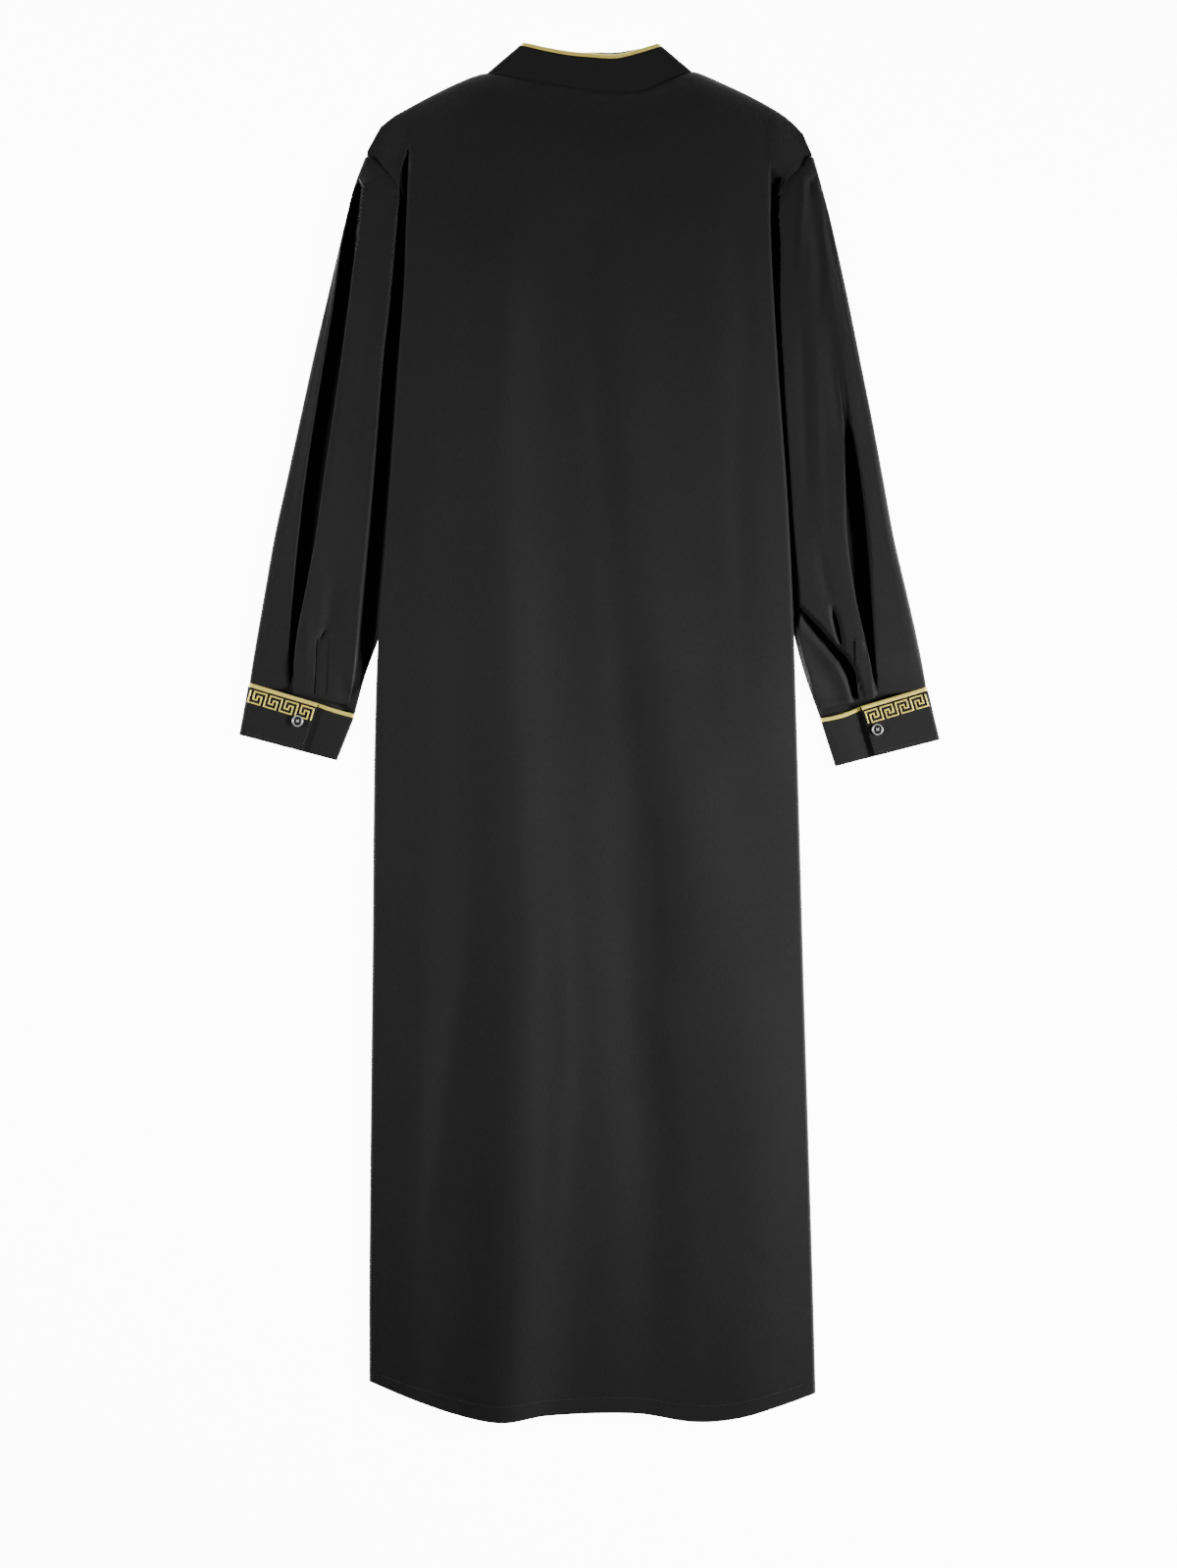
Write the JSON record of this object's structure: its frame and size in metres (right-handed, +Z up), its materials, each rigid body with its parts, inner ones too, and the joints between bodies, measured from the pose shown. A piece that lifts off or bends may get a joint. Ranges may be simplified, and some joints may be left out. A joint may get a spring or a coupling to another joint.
{
  "type": "qamis robe laid flat",
  "caption": "Long ankle-length robe laid flat on its front, back upward, with a stand collar, long cuffed sleeves, piped collar and cuffs, a key border and buttoned cuffs.",
  "frame": {"origin": "bottom centre of the garment's box, on the surface it lies on", "axes": "+Y to the collar, -Y to the hem, +X to the right as seen from above with the back up, +Z up from the surface"},
  "size_m": [0.714, 1.4051, 0.0236],
  "materials": {
    "black_cloth": "matt finely woven near-black cloth with a soft sheen",
    "gold_trim": "satin gold piping and stitched border",
    "silver_button": "polished silver-coloured shirt button"
  },
  "bodies": {
    "root": {"back": "black_cloth", "front": "black_cloth", "collar": "black_cloth", "collar_piping": "gold_trim", "sleeve_left": "black_cloth", "sleeve_placket_left": "black_cloth", "cuff_left": "black_cloth", "cuff_piping_left": "gold_trim", "cuff_fret_left": "gold_trim", "cuff_button_left": "silver_button", "sleeve_right": "black_cloth", "sleeve_placket_right": "black_cloth", "cuff_right": "black_cloth", "cuff_piping_right": "gold_trim", "cuff_fret_right": "gold_trim", "cuff_button_right": "silver_button", "front_placket": "black_cloth", "front_underlap": "black_cloth", "front_button_1": "silver_button", "front_button_2": "silver_button", "front_button_3": "silver_button", "front_button_4": "silver_button"}
  },
  "joints": []
}
